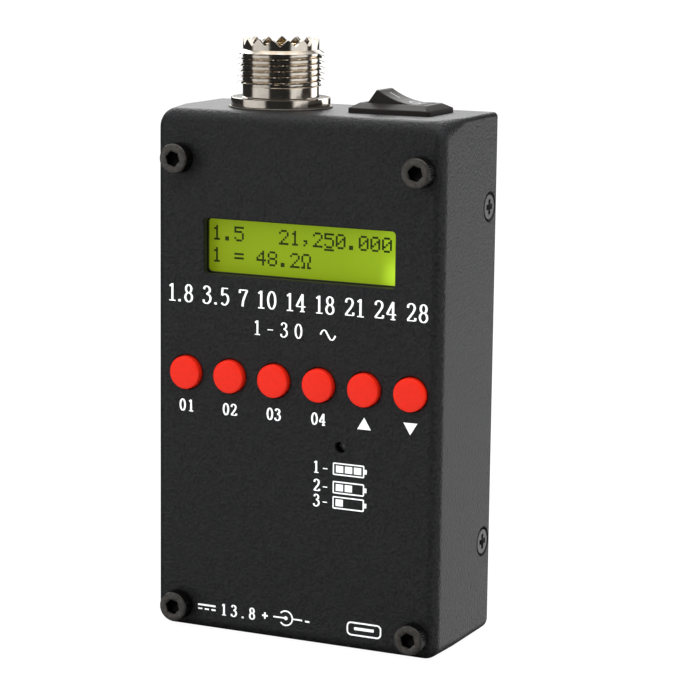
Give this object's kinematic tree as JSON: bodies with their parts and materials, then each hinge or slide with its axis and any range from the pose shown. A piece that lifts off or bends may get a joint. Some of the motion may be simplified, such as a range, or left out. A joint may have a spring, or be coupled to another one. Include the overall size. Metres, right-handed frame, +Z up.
{
  "type": "antenna analyzer",
  "caption": "Hand-held antenna analyzer in a steel case: two-line display, row of round push keys, threaded coaxial socket with toothed crown and a rocker switch on top, power and data sockets below.",
  "frame": {"origin": "middle of the case's bottom face", "axes": "+Z up, towards the antenna socket; the face with display and keys looks along -Y; +X to the right seen from the face"},
  "size_m": [0.057, 0.0275, 0.1093],
  "materials": {
    "case_paint": "fine-texture powder coat",
    "black_screw": "black oxide",
    "zinc_screw": "zinc plated",
    "brass": "turned",
    "circuit_board": "solder mask",
    "display_frame": "matte",
    "display_glass": "smooth",
    "light_guide": "frosted",
    "black_plastic": "moulded",
    "switch_plastic": "satin moulded",
    "red_plastic": "satin moulded",
    "lamp_resin": "clear",
    "nickel": "nickel plated, bright",
    "white_plastic": "turned",
    "cell_foil": "pouch foil",
    "foam": "foam tape",
    "wire": "insulated",
    "trimmer_blue": "moulded"
  },
  "bodies": {
    "case": {"front_shell": "case_paint", "back_cover": "case_paint", "panel_screws": "black_screw", "cover_screws": "black_screw", "board_standoffs": "brass", "board_screws": "zinc_screw", "main_board": "circuit_board", "lcd_board": "circuit_board", "lcd_frame": "display_frame", "lcd_glass": "display_glass", "lcd_backlight": "light_guide", "lcd_header": "black_plastic", "key_switch_1": "black_plastic", "key_switch_2": "black_plastic", "key_switch_3": "black_plastic", "key_switch_4": "black_plastic", "key_switch_5": "black_plastic", "key_switch_6": "black_plastic", "status_led": "lamp_resin", "connector_body": "nickel", "connector_washer": "nickel", "connector_insulator": "white_plastic", "centre_contact": "brass", "connector_nut": "nickel", "ground_lug": "brass", "power_switch_housing": "switch_plastic", "switch_terminals": "brass", "dc_jack_housing": "black_plastic", "dc_jack_pin": "nickel", "dc_jack_spring": "brass", "usb_shell": "nickel", "usb_tongue": "black_plastic", "battery_cell_1": "cell_foil", "battery_cell_2": "cell_foil", "battery_cell_3": "cell_foil", "battery_pad": "foam", "battery_plug": "white_plastic", "controller_chip": "black_plastic", "signal_chip": "black_plastic", "regulator": "black_plastic", "crystal": "nickel", "capacitors": "cell_foil", "contrast_trimmer": "trimmer_blue", "antenna_wire": "wire", "switch_wires": "wire", "battery_wires": "wire"},
    "button_1": {"button_cap_1": "red_plastic", "key_stem_1": "black_plastic"},
    "button_2": {"button_cap_2": "red_plastic", "key_stem_2": "black_plastic"},
    "button_3": {"button_cap_3": "red_plastic", "key_stem_3": "black_plastic"},
    "button_4": {"button_cap_4": "red_plastic", "key_stem_4": "black_plastic"},
    "button_5": {"button_cap_5": "red_plastic", "key_stem_5": "black_plastic"},
    "button_6": {"button_cap_6": "red_plastic", "key_stem_6": "black_plastic"},
    "rocker": {"power_rocker": "switch_plastic"},
    "trimmer": {"trimmer_rotor": "white_plastic"}
  },
  "joints": [
    {"name": "button_1_press", "type": "slide", "parent": "case", "child": "button_1", "axis": [0, 1, 0], "range_m": [0, 0.0003], "stiffness_N_per_m": 300, "springref_m": -0.0004},
    {"name": "button_2_press", "type": "slide", "parent": "case", "child": "button_2", "axis": [0, 1, 0], "range_m": [0, 0.0003], "stiffness_N_per_m": 300, "springref_m": -0.0004},
    {"name": "button_3_press", "type": "slide", "parent": "case", "child": "button_3", "axis": [0, 1, 0], "range_m": [0, 0.0003], "stiffness_N_per_m": 300, "springref_m": -0.0004},
    {"name": "button_4_press", "type": "slide", "parent": "case", "child": "button_4", "axis": [0, 1, 0], "range_m": [0, 0.0003], "stiffness_N_per_m": 300, "springref_m": -0.0004},
    {"name": "button_5_press", "type": "slide", "parent": "case", "child": "button_5", "axis": [0, 1, 0], "range_m": [0, 0.0003], "stiffness_N_per_m": 300, "springref_m": -0.0004},
    {"name": "button_6_press", "type": "slide", "parent": "case", "child": "button_6", "axis": [0, 1, 0], "range_m": [0, 0.0003], "stiffness_N_per_m": 300, "springref_m": -0.0004},
    {"name": "rocker_throw", "type": "hinge", "parent": "case", "child": "rocker", "pos_m": [0.01385, 0.00195, 0.0967], "axis": [0, 1, 0], "range_deg": [-33, 0]},
    {"name": "trimmer_turn", "type": "hinge", "parent": "case", "child": "trimmer", "pos_m": [-0.019, -0.00725, 0.017], "axis": [0, 1, 0], "range_deg": [-130, 130]}
  ]
}
